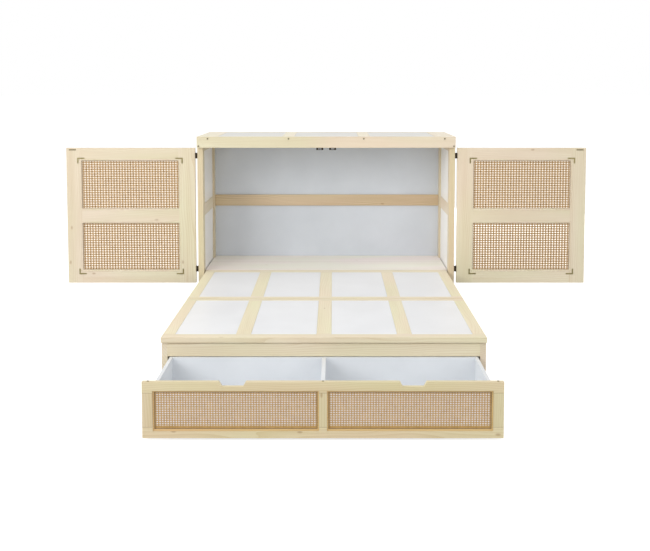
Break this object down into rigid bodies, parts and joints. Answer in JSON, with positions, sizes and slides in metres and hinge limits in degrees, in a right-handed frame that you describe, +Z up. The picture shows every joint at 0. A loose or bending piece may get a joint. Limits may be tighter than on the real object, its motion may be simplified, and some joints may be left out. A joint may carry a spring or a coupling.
{
  "type": "cabinet bed",
  "caption": "Free-standing pine cabinet bed with cane doors, an accordion-folding panelled platform and a rolling housing with a wide cane-fronted drawer.",
  "frame": {"origin": "on the floor under the centre of the opened bed's bounding box", "axes": "+X to the sleeper's right seen from the foot, +Y from the foot towards the wall, +Z up"},
  "size_m": [3.278, 2.439, 1.202],
  "materials": {
    "pine": "clear-lacquered pale pine",
    "white_panel": "white-painted board",
    "cane": "natural woven cane",
    "dark_hardware": "dark bronze",
    "brass_bracket": "antique brass",
    "steel_hardware": "zinc-plated steel",
    "black_plastic": "moulded plastic"
  },
  "bodies": {
    "cabinet": {"front_posts": "pine", "rear_posts": "pine", "side_rails": "pine", "side_panels": "white_panel", "back_rails": "pine", "back_panels": "white_panel", "top_apron": "pine", "top_cross_rails": "pine", "top_long_rails": "pine", "top_panels": "white_panel", "inner_deck_boards": "pine", "deck_cleats": "pine", "magnetic_catches": "dark_hardware", "levelling_feet": "black_plastic", "door_hinge_fixed_leaves": "dark_hardware", "deck_hinge_fixed_leaves": "steel_hardware"},
    "left_door": {"left_door_stiles": "pine", "left_door_rails": "pine", "left_door_beads": "pine", "left_door_cane": "cane", "left_door_brackets": "brass_bracket", "left_door_strike": "dark_hardware", "left_door_hinge_leaves": "dark_hardware"},
    "right_door": {"right_door_stiles": "pine", "right_door_rails": "pine", "right_door_beads": "pine", "right_door_cane": "cane", "right_door_brackets": "brass_bracket", "right_door_strike": "dark_hardware", "right_door_hinge_leaves": "dark_hardware"},
    "rear_platform": {"rear_platform_rails": "pine", "rear_platform_stiles": "pine", "rear_platform_panels": "white_panel", "rear_platform_hinge_leaves": "steel_hardware"},
    "front_platform": {"front_platform_rails": "pine", "front_platform_stiles": "pine", "front_platform_panels": "white_panel", "front_platform_hinge_leaves": "steel_hardware"},
    "housing": {"housing_sides": "pine", "housing_front_rail": "pine", "housing_back": "white_panel", "housing_floor": "white_panel", "housing_runners": "steel_hardware", "caster_forks": "steel_hardware"},
    "drawer": {"drawer_front_rails": "pine", "drawer_front_stiles": "pine", "drawer_beads": "pine", "drawer_cane": "cane", "drawer_backing_panels": "white_panel", "drawer_box_sides": "white_panel", "drawer_box_ends": "white_panel", "drawer_divider": "white_panel", "drawer_box_floor": "white_panel", "drawer_runners": "steel_hardware"},
    "left_runner": {"left_runner_slide": "steel_hardware"},
    "right_runner": {"right_runner_slide": "steel_hardware"},
    "wheel_front_left": {"caster_wheel_front_left": "black_plastic"},
    "wheel_front_right": {"caster_wheel_front_right": "black_plastic"},
    "wheel_rear_left": {"caster_wheel_rear_left": "black_plastic"},
    "wheel_rear_right": {"caster_wheel_rear_right": "black_plastic"}
  },
  "joints": [
    {"name": "left_door_swing", "type": "hinge", "parent": "cabinet", "child": "left_door", "pos_m": [-0.82, 0.6495, 0.7], "axis": [0, 0, 1], "range_deg": [0, 90]},
    {"name": "right_door_swing", "type": "hinge", "parent": "cabinet", "child": "right_door", "pos_m": [0.82, 0.6495, 0.7], "axis": [0, 0, -1], "range_deg": [0, 90]},
    {"name": "head_fold", "type": "hinge", "parent": "cabinet", "child": "rear_platform", "pos_m": [0, 0.7115, 0.336], "axis": [-1, 0, 0], "range_deg": [0, 90]},
    {"name": "foot_fold", "type": "hinge", "parent": "rear_platform", "child": "front_platform", "pos_m": [0, -0.0585, 0.3125], "axis": [1, 0, 0], "range_deg": [0, 180]},
    {"name": "housing_roll", "type": "slide", "parent": "cabinet", "child": "housing", "axis": [0, 1, 0], "range_m": [0, 1.488]},
    {"name": "drawer_slide", "type": "slide", "parent": "housing", "child": "drawer", "axis": [0, 1, 0], "range_m": [0, 0.38]},
    {"name": "left_runner_travel", "type": "slide", "parent": "housing", "child": "left_runner", "axis": [0, 1, 0], "range_m": [0, 0.19]},
    {"name": "right_runner_travel", "type": "slide", "parent": "housing", "child": "right_runner", "axis": [0, 1, 0], "range_m": [0, 0.19]},
    {"name": "wheel_front_left_spin", "type": "hinge", "parent": "housing", "child": "wheel_front_left", "pos_m": [-0.6, -0.7465, 0.02], "axis": [-1, 0, 0], "continuous": true},
    {"name": "wheel_front_right_spin", "type": "hinge", "parent": "housing", "child": "wheel_front_right", "pos_m": [0.6, -0.7465, 0.02], "axis": [-1, 0, 0], "continuous": true},
    {"name": "wheel_rear_left_spin", "type": "hinge", "parent": "housing", "child": "wheel_rear_left", "pos_m": [-0.6, -0.4565, 0.02], "axis": [-1, 0, 0], "continuous": true},
    {"name": "wheel_rear_right_spin", "type": "hinge", "parent": "housing", "child": "wheel_rear_right", "pos_m": [0.6, -0.4565, 0.02], "axis": [-1, 0, 0], "continuous": true}
  ],
  "couplings": [
    {"joint": "foot_fold", "follows": "head_fold", "ratio": 2},
    {"joint": "left_runner_travel", "follows": "drawer_slide", "ratio": 0.5},
    {"joint": "right_runner_travel", "follows": "drawer_slide", "ratio": 0.5}
  ]
}
